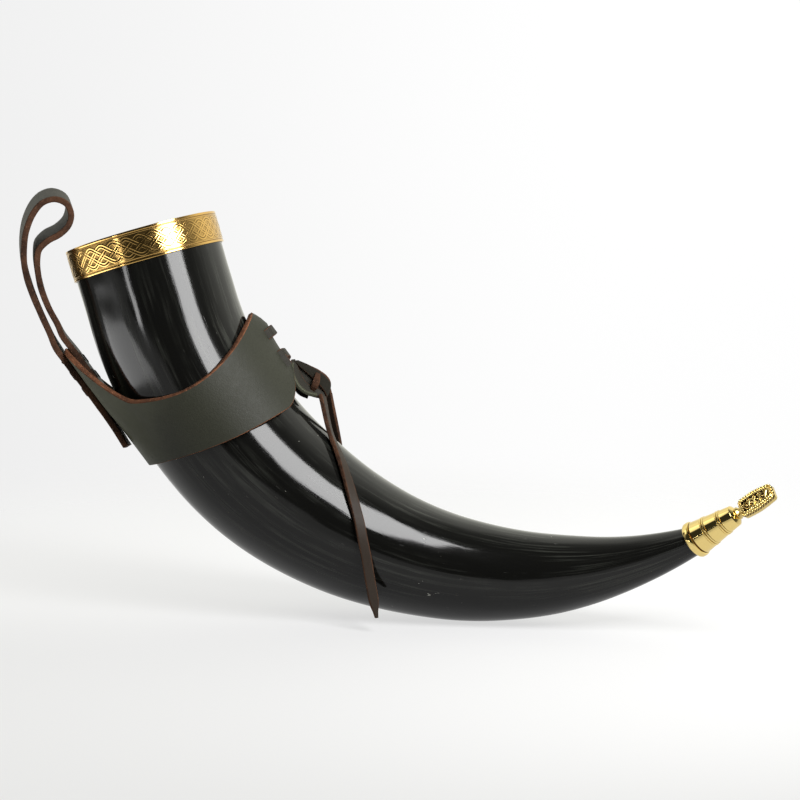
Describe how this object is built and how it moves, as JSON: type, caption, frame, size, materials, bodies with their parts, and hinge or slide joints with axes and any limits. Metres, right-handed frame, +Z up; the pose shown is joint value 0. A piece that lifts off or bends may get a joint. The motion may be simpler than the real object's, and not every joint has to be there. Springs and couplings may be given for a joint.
{
  "type": "drinking horn with belt holder",
  "caption": "Curved black drinking horn with an engraved brass rim band, a brass tip ferrule and knop, in a laced leather collar with a folded belt loop.",
  "frame": {"origin": "on the floor under the horn's belly, in the middle of the object's bounding box without the lace tails", "axes": "+Z up, +X from the mouth's end to the tip's end, -Y the side that the tip swings to"},
  "size_m": [0.372, 0.0994, 0.2159],
  "materials": {
    "polished_horn": null,
    "band_brass": "engraved, polished",
    "ferrule_brass": "turned, polished",
    "finial_brass": "cast, darkened in the recesses",
    "collar_leather": "oiled, dark olive brown, raw edges",
    "strap_leather": "oiled, dark brown, raw edges",
    "loop_leather": "oiled, dark brown, raw edges",
    "waxed_thread": "waxed",
    "lace_leather": "cut thong",
    "knot_leather": "cut thong",
    "tail_leather": "cut thong"
  },
  "bodies": {
    "horn": {"horn": "polished_horn", "rim_band": "band_brass", "tip_ferrule": "ferrule_brass", "finial": "finial_brass"},
    "holder": {"collar": "collar_leather", "strap_outer_leg": "strap_leather", "strap_inner_leg": "strap_leather", "strap_thread_near": "waxed_thread", "strap_thread_far": "waxed_thread", "lace_upper_crossing": "lace_leather", "lace_lower_crossing": "lace_leather", "lace_knot": "knot_leather", "lace_tail_front": "tail_leather", "lace_tail_rear": "tail_leather"},
    "belt_loop": {"strap_loop": "loop_leather"}
  },
  "joints": [
    {"name": "holder_slide", "type": "hinge", "parent": "horn", "child": "holder", "pos_m": [0.05975, 0.00858, 0.20235], "axis": [0, -1, 0], "range_deg": [0, 1.8]},
    {"name": "loop_flex", "type": "hinge", "parent": "holder", "child": "belt_loop", "pos_m": [-0.16158, -0.00029, 0.13374], "axis": [0.1671, -0.9781, 0.1237], "range_deg": [-1, 40], "stiffness_Nm_per_rad": 0.25}
  ]
}
